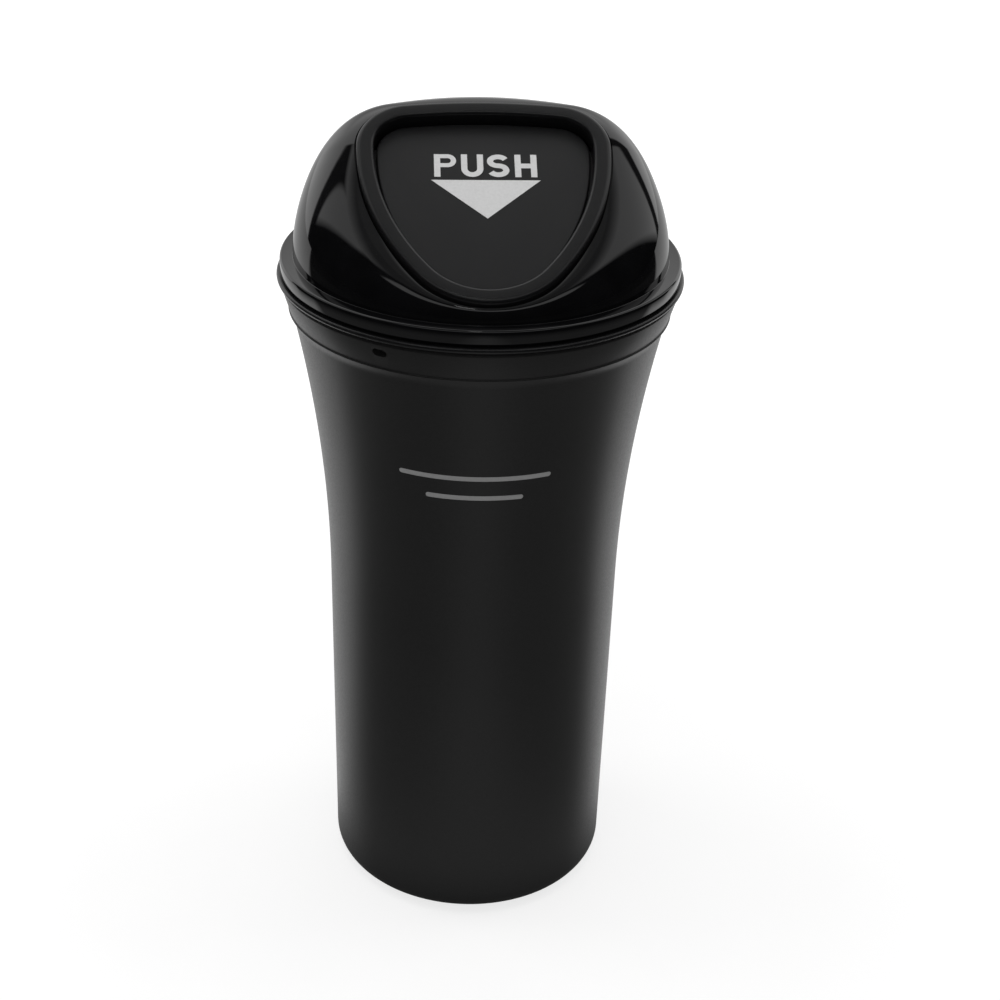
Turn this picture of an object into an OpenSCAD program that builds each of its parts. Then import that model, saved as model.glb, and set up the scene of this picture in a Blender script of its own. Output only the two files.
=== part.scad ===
// Car trash bin: a flared cup, a ring that clamps the liner bag, and a domed
// lid whose sprung flap is pushed inwards. Millimetres, +Z up, front at -Y,
// origin on the floor under the middle of the foot.

/* [Bin body] */
// Height of the whole bin with its lid on
overall_h = 200; // [195:0.5:206]
// Outside radius of the wall just above the foot
foot_r = 35; // [33:0.25:36.5]
// Rounding between the foot and the wall
foot_round = 6; // [3:0.5:8]
// Width of the flat ring that the bin stands on
foot_land = 5; // [3:0.5:8]
// Depth of the recess under the floor
foot_recess = 1.2; // [0.6:0.1:2]
// Thickness of the floor
floor_t = 2.2; // [1.4:0.1:4]
// Thickness of the wall
wall_t = 1.8; // [1.2:0.1:2.2]
// Rounding between the floor and the wall, inside
floor_round = 4.5; // [2:0.5:6]
// Height of the cone between the flare and the collar
cone_h = 2.5; // [1:0.1:8]
// Height of the bow in which the straight wall flares out into the cone
bow_h = 68; // [60:1:76]
// Outward slope of the lower wall, in mm per mm
lower_slope = 0.01; // [0.005:0.001:0.02]
// Outward slope of the cone above the flare, in mm per mm
upper_slope = 0.218; // [0.2:0.001:0.235]

/* [Collar] */
// Step from the wall out to the collar
collar_step = 0.35; // [0.2:0.05:0.8]
// Height of the collar above the crease
collar_h = 7.1; // [6:0.1:8]
// How far the collar widens towards its top
collar_flare = 2.1; // [1.5:0.1:3]
// Rounding of the collar's top edge
collar_round = 0.8; // [0.4:0.1:1.2]
// Width of the rim, from the collar's top edge in to the mouth
rim_w = 4; // [3.6:0.1:4.4]
// Length of the oval dimple in the collar
dimple_l = 3.6; // [2:0.1:5]
// Height of the oval dimple
dimple_w = 2; // [1:0.1:2.6]
// Depth of the oval dimple
dimple_depth = 0.6; // [0.3:0.1:0.9]
// Angle of the dimple round the bin, from +X
dimple_angle = -121; // [-180:1:180]
// Place of the dimple up the collar, as a share of the collar's height
dimple_share = 0.62; // [0.3:0.01:0.7]

/* [Bag ring] */
// Height of the bead that shows between the collar and the lid
bead_h = 1.2; // [1:0.1:1.8]
// How far the bead stands out over the collar
bead_proud = 0.9; // [0.6:0.1:1.4]
// Thickness of the skirt that holds the bag
ring_wall = 1.3; // [1:0.1:1.6]
// Length of the skirt below the collar's top
ring_skirt_l = 6.6; // [5:0.1:7]
// Gap left for the bag between the skirt and the mouth
bag_gap = 0.4; // [0.3:0.05:0.8]

/* [Lid] */
// Height of the lid above the bag ring
lid_h = 36.4; // [35:0.1:38]
// Thickness of the lid's skirt
lid_skirt_t = 1.4; // [1:0.1:1.6]
// Length of the lid's skirt below its flange, all of it above the rim
lid_skirt_l = 1.7; // [1.4:0.1:1.8]
// Thickness of the flange
flange_h = 3.6; // [2.4:0.1:4]
// How far the flange's rounded lip stays inside the bead
lip_inset = 0.8; // [0.3:0.1:1.2]
// Width of the flange's top between the lip's edge and the dome
lip_ledge = 3; // [2.6:0.1:3.6]
// Thickness of the dome's wall
dome_t = 2; // [1.4:0.1:2.4]
// Point behind the front from which the dome's ribs of skin fan out
fan_y = -6; // [-9:0.5:-3]

/* [Flap opening] */
// Slant of the opening's plane from the horizontal
face_tilt = 28.5; // [26:0.5:31]
// How far the frame's lowest edge stays inside the dome's foot
nose_inset = 1.5; // [1.2:0.1:1.9]
// Sideways place of the two upper corner arcs
corner_x = 16.3; // [15:0.1:17]
// Place of the upper corner arcs up the slant
corner_y = 15.4; // [14.5:0.1:16]
// Radius of the upper corners
corner_r = 8.5; // [7.5:0.1:9.5]
// Place of the nose arc down the slant
nose_y = -12; // [-12.5:0.1:-11]
// Radius of the nose at the bottom
nose_r = 14.4; // [13.5:0.1:15]
// Radius of the long bowed sides
side_r = 56.4; // [52:0.2:62]
// Radius of the nearly flat top side
top_r = 144; // [120:1:170]

/* [Flap frame] */
// Width of the frame's rounded crown
crown_w = 4.1; // [3.6:0.1:4.6]
// Height of the crown over the dome
crown_h = 1.2; // [0.6:0.1:1.4]
// Thickness of the frame's standing wall
frame_wall = 2.3; // [1.8:0.1:2.6]
// Depth of the standing wall below the opening's plane
frame_depth = 3.2; // [2.8:0.1:3.8]
// Depth of the frame's flange that lies on the dome's ledge
seat_depth = 1.6; // [1.2:0.1:2]
// Thickness of the two hinge ears
ear_t = 2.5; // [2:0.1:3.5]
// Distance from the middle to each ear's inner face
ear_x = 13; // [12.5:0.1:14]
// Thickness of the bridge between the ears that stops the spring
bridge_t = 1.9; // [1.6:0.1:2.2]
// Width of each snap hook
hook_w = 6; // [4:0.5:8]
// Thickness of each snap hook
hook_t = 0.8; // [0.6:0.1:0.9]
// Reach of a hook's barb under the ledge
hook_reach = 0.9; // [0.5:0.1:1.2]
// Height of a hook's barb
hook_h = 1.4; // [1:0.1:2]
// Places of the hooks, as shares of the way down each long side
hook_shares = [0.22, 0.78]; // [0.1:0.01:0.9]

/* [Flap] */
// Depth of the flap's face below the opening's plane
flap_drop = 2; // [1.8:0.1:2.4]
// Thickness of the flap
flap_t = 2.7; // [2.3:0.1:2.9]
// Rounding of the flap's visible edge
flap_edge = 0.5; // [0.3:0.1:0.8]
// Thickness of the stop flange round the flap
stop_t = 1; // [0.8:0.1:1.2]
// Step from the flap's back up to the stop flange
stop_lift = 0.2; // [0.1:0.05:0.4]
// Width of the stop flange beyond the opening's edge
stop_w = 1.2; // [0.8:0.1:1.3]
// Distance of the hinge axis from the opening's top side
hinge_in = 3.9; // [3.5:0.1:4.4]
// How far the stop flange ends short of the hinge axis
stop_short = 3.5; // [3:0.1:6]
// Thickness of the two knuckles
knuckle_t = 2.5; // [2:0.1:3.5]
// Distance from the middle to each knuckle's inner face
knuckle_x = 8.5; // [7:0.1:9]
// Thickness of the two ribs on the back
rib_t = 1.2; // [0.8:0.1:1.6]
// Height of the ribs on the back
rib_h = 1.5; // [0.8:0.1:2]
// Length of the ribs, from the hinge axis down the slant
rib_l = 35; // [29:0.5:37]

/* [Hinge and spring] */
// Diameter of the hinge pin
pin_d = 2; // [1.6:0.1:2.2]
// Length of pin that stands out of each ear
pin_proud = 0.8; // [0.4:0.1:1.5]
// Bevel on the pin's ends
pin_bevel = 0.3; // [0.1:0.05:0.4]
// Outside radius of the ears and knuckles round the pin
boss_r = 1.9; // [1.7:0.05:2]
// Diameter of the spring's wire
wire_d = 0.6; // [0.5:0.05:0.7]
// Diameter of the coil, wire middle to wire middle
coil_d = 3.1; // [2.9:0.05:3.2]
// Length of the coil
coil_l = 7; // [6:0.5:10]
// Number of turns
coil_turns = 6; // [4:1:8]
// Length of the spring's leg under the flap
flap_leg = 9; // [6:0.5:12]
// Length of the spring's leg under the bridge
bridge_leg = 5.4; // [5:0.1:5.8]

/* [Fits] */
// Width of the bevel at the lower end of the skirts
lead_w = 0.45; // [0.3:0.05:0.6]
// Height of the bevel at the lower end of the skirts
lead_h = 1.3; // [1:0.1:1.6]
// Gap between pieces that sit on each other but move apart
seat_gap = 0.3; // [0.2:0.05:0.5]
// Radial gap between the lid's skirt and the bag ring
plug_gap = 0.4; // [0.3:0.05:0.6]
// Gap between the bag ring's skirt and the shoulder under it
shoulder_gap = 0.6; // [0.3:0.1:1.2]
// Gap of the joint round the frame
joint_gap = 0.3; // [0.2:0.05:0.4]
// Gap all round the flap
flap_gap = 0.7; // [0.5:0.05:0.9]
// Radial gap between the pin and the knuckles it turns in
pin_run = 0.08; // [0.04:0.01:0.1]
// Radial gap between the pin and the ears that hold it
pin_hold = 0.02; // [0.01:0.005:0.03]

/* [Hidden] */
$fn = 96;

// Counts of straight pieces in curves that are drawn point by point
foot_steps = 8;
flare_steps = 14;
lip_steps = 10;
top_steps = 7;
corner_steps = 11;
side_steps = 8;
nose_steps = 8;
crown_steps = 8;
bevel_steps = 3;
dome_steps = 14;
lining_steps = 7;
wire_sides = 6;
wire_steps = 12;

// Overlap that joins the solids of one piece
weld = 1;
// A length past everything, for cutting
past = 60;

// Heights where the pieces stack on each other, from the top down
flange_z = overall_h - lid_h;
ledge_z = flange_z + flange_h;
bead_top_z = flange_z - seat_gap;
ring_z = bead_top_z - bead_h;
rim_z = ring_z - seat_gap;
shoulder_z = rim_z - ring_skirt_l - shoulder_gap;
crease_z = rim_z - collar_h;
flare_end_z = crease_z - cone_h;
flare_start_z = flare_end_z - bow_h;

// Radius of the wall's outside at height z: a lower cone, a bow, an upper cone
function bow_r(d) = lower_slope * d + (upper_slope - lower_slope) * d * d / (2 * bow_h);
function wall_r(z) =
    foot_r + lower_slope * (min(z, flare_start_z) - foot_round)
    + bow_r(max(0, min(z, flare_end_z) - flare_start_z))
    + upper_slope * max(0, z - flare_end_z);

collar_low_r = wall_r(crease_z) + collar_step;
collar_top_r = collar_low_r + collar_flare;

// Radii that nest inside each other, from the collar inwards to the throat
mouth_r = collar_top_r - rim_w;
ring_out_r = mouth_r - bag_gap;
ring_in_r = ring_out_r - ring_wall;
skirt_r = ring_in_r - plug_gap;
throat_r = skirt_r - lid_skirt_t;

// Radii of what shows above the collar
bead_r = collar_top_r + bead_proud;
lip_r = bead_r - lip_inset;
dome_r = lip_r - lip_ledge;

// Points of an arc, without its last one
function arc(c, r, from, to, steps) =
    [for (i = [0 : steps - 1]) let (a = from + (to - from) * i / steps) c + r * [cos(a), sin(a)]];

// Centres of the arcs of the opening's outline, which is a rounded triangle
corner_c = [corner_x, corner_y];
nose_c = [0, nose_y];
top_c = [0, corner_y - sqrt(pow(top_r - corner_r, 2) - pow(corner_x, 2))];
side_way = nose_c - corner_c;
side_dir = side_way / norm(side_way);
side_along = (pow(norm(side_way), 2) + pow(side_r - corner_r, 2) - pow(side_r - nose_r, 2))
    / (2 * norm(side_way));
side_off = sqrt(pow(side_r - corner_r, 2) - pow(side_along, 2));
side_c = corner_c + side_dir * side_along + [side_dir.y, -side_dir.x] * side_off;

// Angles where one arc passes into the next
top_end = atan2(corner_c.y - top_c.y, corner_c.x - top_c.x);
side_start = atan2(corner_c.y - side_c.y, corner_c.x - side_c.x);
side_end = atan2(nose_c.y - side_c.y, nose_c.x - side_c.x);

// The right half of the outline, moved out by w, from the top to the nose
function half_outline(w) = concat(
    arc(top_c, top_r + w, 90, top_end, top_steps),
    arc(corner_c, corner_r + w, top_end, side_start, corner_steps),
    arc(side_c, side_r + w, side_start, side_end, side_steps),
    arc(nose_c, nose_r + w, side_end, -90, nose_steps));

// The whole outline, moved out by w, counter-clockwise from the top
function outline(w) = let (right = half_outline(w), n = len(right)) concat(
    [for (p = right) [-p.x, p.y]],
    [[0, nose_y - nose_r - w]],
    [for (i = [n - 1 : -1 : 1]) right[i]]);

// Place of the slanted plane: its lowest edge stands over the dome's foot, and
// the frame's crown is the top of the bin
dome_edge_w = crown_w + joint_gap;
opening_top_y = top_c.y + top_r;
face_y = nose_inset - dome_r + (nose_r + dome_edge_w - nose_y) * cos(face_tilt);
crown_rise = norm([crown_w / 2 * sin(face_tilt), crown_h * cos(face_tilt)]);
face_z = overall_h - (opening_top_y + crown_w / 2) * sin(face_tilt) - crown_rise;

// A point of the slanted plane, h above it, in the bin's own frame
function on_face(p, h) = [
    p.x,
    face_y + p.y * cos(face_tilt) - h * sin(face_tilt),
    face_z + p.y * sin(face_tilt) + h * cos(face_tilt)];

module face_frame() {
    translate([0, face_y, face_z]) rotate([face_tilt, 0, 0]) children();
}

// A ring of skin between a round base and an upper edge, at share v of a
// quarter of an ellipse
function dome_ring(edge, r, z, v) = [
    for (p = edge) let (
        a = atan2(p.y - fan_y, p.x),
        in = 1 - cos(90 * v),
        up = sin(90 * v))
    [r * cos(a) * (1 - in) + p.x * in, r * sin(a) * (1 - in) + p.y * in, z + (p.z - z) * up]];

// Two triangles between neighbouring points of two rings
function patch(a, b, c, d) = [[a, b, c], [a, c, d]];

// A skin over rings of equal count that closes back on its first ring
module closed_skin(rings) {
    n = len(rings[0]);
    m = len(rings);
    polyhedron(
        points = [for (r = rings) each r],
        faces = [for (i = [0 : m - 1], j = [0 : n - 1]) let (k = (i + 1) % m, l = (j + 1) % n)
            each patch(i * n + j, k * n + j, k * n + l, i * n + l)],
        convexity = 8);
}

// A skin over rings of equal count with flat ends
module capped_skin(rings) {
    n = len(rings[0]);
    m = len(rings);
    polyhedron(
        points = [for (r = rings) each r],
        faces = concat(
            [for (i = [0 : m - 2], j = [0 : n - 1]) let (l = (j + 1) % n)
                each patch(i * n + j, (i + 1) * n + j, (i + 1) * n + l, i * n + l)],
            [[for (j = [0 : n - 1]) j]],
            [[for (j = [n - 1 : -1 : 0]) (m - 1) * n + j]]),
        convexity = 8);
}

// Hinge axis and the faces round it, on the slanted plane and above it
hinge_y = opening_top_y - hinge_in;
rib_end_y = hinge_y - rib_l;
flap_top_h = -flap_drop;
flap_back_h = flap_top_h - flap_t;
leg_h = (coil_d + wire_d) / 2;
hinge_h = flap_back_h - seat_gap - leg_h;
bridge_h = hinge_h + leg_h + seat_gap;
bridge_y = opening_top_y + joint_gap;

// The cup: foot, flared wall, collar and shoulder for the bag ring
module bin_body() {
    land_in_r = foot_r - foot_round - foot_land;
    inner_z = foot_recess + floor_t;
    inner_r = wall_r(inner_z + floor_round) - wall_t;
    outside = concat(
        [[0, foot_recess], [land_in_r - foot_recess, foot_recess], [land_in_r, 0]],
        arc([foot_r - foot_round, foot_round], foot_round, -90, 0, foot_steps),
        [[foot_r, foot_round]],
        [for (i = [0 : flare_steps]) let (z = flare_start_z + bow_h * i / flare_steps) [wall_r(z), z]],
        [[wall_r(crease_z), crease_z], [collar_low_r, crease_z]],
        arc([collar_top_r - collar_round, rim_z - collar_round], collar_round, 0, 90, foot_steps),
        [[collar_top_r - collar_round, rim_z]]);
    inside = concat(
        [[mouth_r, rim_z], [mouth_r, shoulder_z]],
        [[wall_r(shoulder_z - weld) - wall_t, shoulder_z - weld]],
        [for (i = [flare_steps : -1 : 0])
            let (z = flare_start_z + bow_h * i / flare_steps) [wall_r(z) - wall_t, z]],
        [[inner_r, inner_z + floor_round]],
        arc([inner_r - floor_round, inner_z + floor_round], floor_round, 0, -90, foot_steps),
        [[inner_r - floor_round, inner_z], [0, inner_z]]);
    color([0.10, 0.10, 0.11]) difference() {
        rotate_extrude() polygon(concat(outside, inside));
        rotate([0, 0, dimple_angle]) dimple();
    }
}

// The oval pressed into the collar, lying along it
module dimple() {
    mid_z = crease_z + collar_h * dimple_share;
    mid_r = collar_low_r + collar_flare * dimple_share;
    lean = atan2(collar_flare, collar_h);
    translate([mid_r, 0, mid_z]) rotate([0, 90 + lean, 0]) {
        for (s = [-1, 1]) translate([0, s * (dimple_l - dimple_w) / 2, -dimple_depth])
            cylinder(d = dimple_w, h = dimple_depth + weld);
        translate([-dimple_w / 2, -(dimple_l - dimple_w) / 2, -dimple_depth])
            cube([dimple_w, dimple_l - dimple_w, dimple_depth + weld]);
    }
}

// The ring that presses the bag into the mouth, with its bead outside
module bag_ring() {
    bead_c = [bead_r - bead_h / 2, ring_z + bead_h / 2];
    skirt_z = rim_z - ring_skirt_l;
    color([0.08, 0.08, 0.085]) rotate_extrude() polygon(concat(
        [[ring_in_r, skirt_z], [ring_out_r - lead_w, skirt_z], [ring_out_r, skirt_z + lead_h]],
        [[ring_out_r, ring_z]],
        arc(bead_c, bead_h / 2, -90, 90, lip_steps),
        [[bead_c.x, bead_top_z], [ring_in_r, bead_top_z]]));
}

// The glossy lid: skirt, flange with rounded lip, and the dome round the slant
module lid_dome() {
    lip_c = [lip_r - flange_h / 2, flange_z + flange_h / 2];
    skirt_z = flange_z - lid_skirt_l;
    edge = [for (p = outline(dome_edge_w)) on_face(p, 0)];
    ledge_edge = [for (p = outline(frame_wall + joint_gap)) on_face(p, -frame_depth)];
    buried_z = ledge_z - weld;
    color([0.03, 0.03, 0.035]) {
        rotate_extrude() polygon(concat(
            [[throat_r, skirt_z], [skirt_r - lead_w, skirt_z], [skirt_r, skirt_z + lead_h]],
            [[skirt_r, flange_z]],
            arc(lip_c, flange_h / 2, -90, 90, lip_steps),
            [[lip_c.x, ledge_z], [throat_r, ledge_z]]));
        closed_skin(concat(
            [dome_ring(edge, dome_r, buried_z, 0)],
            [for (i = [0 : dome_steps]) dome_ring(edge, dome_r, ledge_z, i / dome_steps)],
            [[for (p = outline(dome_edge_w)) on_face(p, -seat_depth)]],
            [[for (p = outline(frame_wall + joint_gap)) on_face(p, -seat_depth)]],
            [for (i = [lining_steps : -1 : 0])
                dome_ring(ledge_edge, dome_r - dome_t, buried_z, i / lining_steps)]));
    }
}

// The frame round the flap: crown, standing wall, hinge ears and snap hooks
module flap_frame() {
    crown = [for (i = [0 : crown_steps]) let (a = 180 * i / crown_steps)
        [crown_w / 2 * (1 + cos(a)), crown_h * sin(a)]];
    section = concat(
        crown,
        [[0, -frame_depth], [frame_wall, -frame_depth], [frame_wall, -seat_depth], [crown_w, -seat_depth]]);
    color([0.09, 0.09, 0.095]) difference() {
        union() {
            closed_skin([for (q = section) [for (p = outline(q.x)) on_face(p, q.y)]]);
            face_frame() {
                bridge();
                for (s = [-1, 1]) {
                    translate([s * (ear_x + ear_t / 2), 0, 0]) ear();
                    for (v = hook_shares) mirror([s < 0 ? 1 : 0, 0, 0]) hook(v);
                }
            }
        }
        face_frame() translate([-past / 2, hinge_y, hinge_h]) rotate([0, 90, 0])
            cylinder(d = pin_d + 2 * pin_hold, h = past);
    }
}

// The bar between the ears, under the frame's top side
module bridge() {
    intersection() {
        translate([0, 0, bridge_h]) linear_extrude(-frame_depth + weld - bridge_h)
            polygon(outline(frame_wall));
        translate([-ear_x - ear_t, bridge_y, bridge_h])
            cube([2 * (ear_x + ear_t), bridge_t, -frame_depth + weld / 2 - bridge_h]);
    }
}

// One ear: an arm from the bridge forward to a boss round the pin
module ear() {
    back_y = bridge_y + bridge_t / 2;
    rotate([90, 0, 90]) translate([0, 0, -ear_t / 2]) linear_extrude(ear_t) {
        translate([hinge_y, hinge_h]) circle(r = boss_r);
        polygon([
            [hinge_y, hinge_h + boss_r], [hinge_y, hinge_h - boss_r],
            [back_y, hinge_h], [back_y, bridge_h + weld], [bridge_y, bridge_h + weld],
            [bridge_y, hinge_h + boss_r]]);
    }
}

// One snap hook at share v of the long side's arc, with its barb outside
module hook(v) {
    a = side_start + (side_end - side_start) * v;
    hook_in = frame_wall - hook_t;
    barb_h = -frame_depth - seat_gap;
    translate([side_c.x, side_c.y, 0]) rotate([0, 0, a]) translate([side_r, hook_w / 2, 0])
        rotate([90, 0, 0]) linear_extrude(hook_w) polygon([
            [hook_in, weld / 2 - frame_depth], [frame_wall, weld / 2 - frame_depth],
            [frame_wall, barb_h], [frame_wall + hook_reach, barb_h],
            [frame_wall, barb_h - hook_h], [hook_in, barb_h - hook_h]]);
}

// The flap: a plate behind the frame with a stop flange, knuckles and ribs
module flap() {
    inner_w = -flap_gap;
    bevel = [for (i = [0 : bevel_steps]) let (a = 90 * i / bevel_steps)
        [inner_w - flap_edge + flap_edge * cos(a), flap_top_h - flap_edge + flap_edge * sin(a)]];
    plate = concat([[inner_w, flap_back_h]], bevel);
    color([0.13, 0.13, 0.135]) difference() {
        union() {
            capped_skin([for (q = plate) [for (p = outline(q.x)) on_face(p, q.y)]]);
            face_frame() {
                stop_flange();
                for (s = [-1, 1]) {
                    translate([s * (knuckle_x + knuckle_t / 2), 0, 0]) knuckle();
                    translate([s * (knuckle_x + knuckle_t / 2) - rib_t / 2, rib_end_y, flap_back_h - rib_h])
                        cube([rib_t, rib_l - boss_r + weld / 2, rib_h + weld / 2]);
                }
            }
        }
        face_frame() translate([-past / 2, hinge_y, hinge_h]) rotate([0, 90, 0])
            cylinder(d = pin_d + 2 * pin_run, h = past);
    }
}

// The rim behind the frame's wall that stops the flap when it closes
module stop_flange() {
    intersection() {
        translate([0, 0, flap_back_h + stop_lift]) linear_extrude(stop_t) polygon(outline(stop_w));
        translate([-past / 2, -past, flap_back_h - weld])
            cube([past, past + hinge_y - stop_short, stop_t + 2 * weld]);
    }
}

// One knuckle on the flap's back, bored for the pin
module knuckle() {
    rotate([90, 0, 90]) translate([0, 0, -knuckle_t / 2]) linear_extrude(knuckle_t) {
        translate([hinge_y, hinge_h]) circle(r = boss_r);
        translate([hinge_y - boss_r, hinge_h]) square([2 * boss_r, flap_back_h + weld / 2 - hinge_h]);
    }
}

// The steel pin, level across the top of the flap
module hinge_pin() {
    half = ear_x + ear_t + pin_proud;
    color([0.75, 0.75, 0.77]) face_frame() translate([0, hinge_y, hinge_h]) rotate([0, 90, 0])
        rotate_extrude() polygon([
            [0, -half], [pin_d / 2 - pin_bevel, -half], [pin_d / 2, -half + pin_bevel],
            [pin_d / 2, half - pin_bevel], [pin_d / 2 - pin_bevel, half], [0, half]]);
}

// One ring of wire at turn angle a and side place x, moved along by slide
function wire_ring(a, x, slide) = [
    for (i = [0 : wire_sides - 1]) let (
        b = 360 * i / wire_sides,
        r = coil_d / 2 + wire_d / 2 * cos(b))
    on_face([x - wire_d / 2 * sin(b), hinge_y - r * sin(a) + slide], hinge_h + r * cos(a))];

// The torsion spring round the pin, with one leg forward and one leg back
module flap_spring() {
    turns = coil_turns * wire_steps;
    color([0.7, 0.7, 0.72]) capped_skin(concat(
        [wire_ring(0, -coil_l / 2, bridge_leg)],
        [for (i = [0 : turns]) wire_ring(360 * i / wire_steps, -coil_l / 2 + coil_l * i / turns, 0)],
        [wire_ring(0, coil_l / 2, -flap_leg)]));
}

bin_body();
bag_ring();
lid_dome();
flap_frame();
flap();
hinge_pin();
flap_spring();
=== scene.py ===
"""Looks of a slim push-lid bin for a car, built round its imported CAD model.

Everything is in metres in the model's own frame: +Z up, front at -Y.
"""

from math import asin, atan2, cos, hypot, pi, radians, sin, sqrt

import bmesh
import bpy
from bpy.props import FloatProperty, FloatVectorProperty, PointerProperty
from mathutils import Matrix, Vector


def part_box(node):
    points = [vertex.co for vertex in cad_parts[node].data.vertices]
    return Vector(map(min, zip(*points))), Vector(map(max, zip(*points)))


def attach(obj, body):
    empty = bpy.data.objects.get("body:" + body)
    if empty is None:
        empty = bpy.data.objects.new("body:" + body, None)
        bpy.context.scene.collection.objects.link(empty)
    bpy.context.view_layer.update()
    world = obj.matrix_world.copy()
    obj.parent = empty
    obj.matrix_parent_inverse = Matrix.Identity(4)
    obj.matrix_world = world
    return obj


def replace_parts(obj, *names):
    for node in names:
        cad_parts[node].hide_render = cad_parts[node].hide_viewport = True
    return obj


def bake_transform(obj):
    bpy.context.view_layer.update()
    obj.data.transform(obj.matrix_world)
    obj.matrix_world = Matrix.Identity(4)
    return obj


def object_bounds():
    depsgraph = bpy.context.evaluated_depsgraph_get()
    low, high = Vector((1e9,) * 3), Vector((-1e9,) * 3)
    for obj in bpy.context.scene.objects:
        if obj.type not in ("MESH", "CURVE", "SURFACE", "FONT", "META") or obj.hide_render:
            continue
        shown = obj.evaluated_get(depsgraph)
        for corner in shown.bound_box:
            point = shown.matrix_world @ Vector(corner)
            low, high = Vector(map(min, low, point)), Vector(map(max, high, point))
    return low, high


bl_info = {
    "name": "Push-lid car bin",
    "version": (1, 0, 0),
    "blender": (4, 5, 0),
    "location": "View3D > Sidebar > Car bin",
    "description": "Dresses the CAD model of a slim car bin and sets up its studio",
    "category": "Object",
}

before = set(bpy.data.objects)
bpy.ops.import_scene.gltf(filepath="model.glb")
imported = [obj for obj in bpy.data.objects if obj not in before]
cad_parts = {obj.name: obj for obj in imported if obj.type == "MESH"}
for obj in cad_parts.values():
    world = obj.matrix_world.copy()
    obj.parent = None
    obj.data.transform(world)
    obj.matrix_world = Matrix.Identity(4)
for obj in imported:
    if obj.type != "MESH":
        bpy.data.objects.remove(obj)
CAD_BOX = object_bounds()
MM = 0.001
ABS_IOR, POLYPROPYLENE_IOR = 1.52, 1.49
MELT_FLOW = 28 * MM     # length over which a moulding's tone drifts
MELT_DRIFT = 0.12       # share by which it drifts
LAP = 0.5 * MM          # how deep one form is sunk into another of the same moulding
EASE = 0.15 * MM        # bevel along the edges of small ribs and ears
BORE_REACH = 30 * MM    # half the length of the drill, which runs right through
SLOPE_START = 6 * MM    # height at which the cup's wall starts to slope out
# These lay the depth of a prism along X, and along -Y
UPRIGHT = Matrix(((0, 0, 1, 0), (1, 0, 0, 0), (0, 1, 0, 0), (0, 0, 0, 1)))
TIP_UP = Matrix(((1, 0, 0, 0), (0, 0, -1, 0), (0, 1, 0, 0), (0, 0, 0, 1)))


def linear(hex_colour):
    """A colour written as sRGB hex, as the linear RGBA that Blender works in."""
    raw = [int(hex_colour[i:i + 2], 16) / 255 for i in (1, 3, 5)]
    return tuple(c / 12.92 if c <= 0.04045 else ((c + 0.055) / 1.055) ** 2.4 for c in raw) + (1.0,)


def length(name, size_mm, about):
    """A length that the user can change, given here in millimetres."""
    return FloatProperty(name=name, description=about, default=size_mm * MM,
                         precision=5, unit="LENGTH", subtype="DISTANCE")


def angle(name, size, about):
    """An angle that the user can change, in radians."""
    return FloatProperty(name=name, description=about, default=size, subtype="ANGLE")


def ratio(name, size, about, subtype):
    """A slope or a share that the user can change."""
    return FloatProperty(name=name, description=about, default=size, subtype=subtype)


def lamp_power(name, watts, about):
    """A lamp's power that the user can change."""
    return FloatProperty(name=name, description=about, default=watts, unit="POWER")


def paint(name, hex_colour, about):
    """A colour that the user can change."""
    return FloatVectorProperty(name=name, description=about, default=linear(hex_colour),
                               size=4, min=0.0, max=1.0, subtype="COLOR")


class CupSizes(bpy.types.PropertyGroup):
    """Sizes of the cup, as the CAD model has them but for its finest trim."""
    foot_r: length("Foot radius", 35, "Radius of the round foot")
    foot_round: length("Foot rounding", 5.6, "Rounding where the wall turns under the foot")
    land_r: length("Land radius", 24, "Inner radius of the ring that the cup stands on")
    recess: length("Recess", 1.2, "Depth of the recess under the floor")
    floor_t: length("Floor", 2.2, "Thickness of the cup's floor")
    floor_round: length("Floor rounding", 4.5, "Rounding between the floor and the wall, inside")
    wall_t: length("Wall", 1.8, "Thickness of the wall")
    flare_z: length("Flare start", 84.2, "Height at which the straight wall starts to flare")
    bow_h: length("Flare height", 68, "Height of the bow in which the wall flares")
    lower_slope: ratio("Lower slope", 0.01, "Outward slope of the lower wall", "NONE")
    upper_slope: ratio("Upper slope", 0.218, "Outward slope above the flare", "NONE")
    crease_z: length("Crease", 154.7, "Height of the crease under the collar")
    collar_h: length("Collar height", 7.1, "Height of the collar above the crease")
    collar_low_r: length("Collar foot", 44.429, "Radius of the collar's lower edge")
    collar_top_r: length("Collar top", 46.529, "Radius of the collar's upper edge")
    collar_round: length("Collar rounding", 0.8, "Rounding of the collar's upper edge")
    shoulder_z: length("Shoulder", 154.6, "Height of the shoulder inside the mouth")
    mouth_r: length("Mouth radius", 42.529, "Radius of the mouth")
    line_r: length("Line bead", 0.3, "Radius of the fine bead along the collar's lower edge")
    dimple_l: length("Dimple length", 3.6, "Length of the oval dimple in the collar")
    dimple_w: length("Dimple height", 2, "Height of the oval dimple")
    dimple_depth: length("Dimple depth", 1.4, "Depth of the oval dimple")
    dimple_angle: angle("Dimple place", radians(-121), "Angle of the dimple round the cup, from +X")
    dimple_share: ratio("Dimple height share", 0.62, "Place of the dimple up the collar", "FACTOR")

    def wall_r(self, z):
        """Outside radius of the wall at a height."""
        bow = min(max(z - self.flare_z, 0.0), self.bow_h)
        grown = (self.upper_slope - self.lower_slope) * bow * bow / (2 * self.bow_h)
        lower = min(max(z - SLOPE_START, 0.0), self.flare_z + self.bow_h - SLOPE_START)
        upper = max(z - self.flare_z - self.bow_h, 0.0)
        return self.foot_r + self.lower_slope * lower + grown + self.upper_slope * upper


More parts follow.
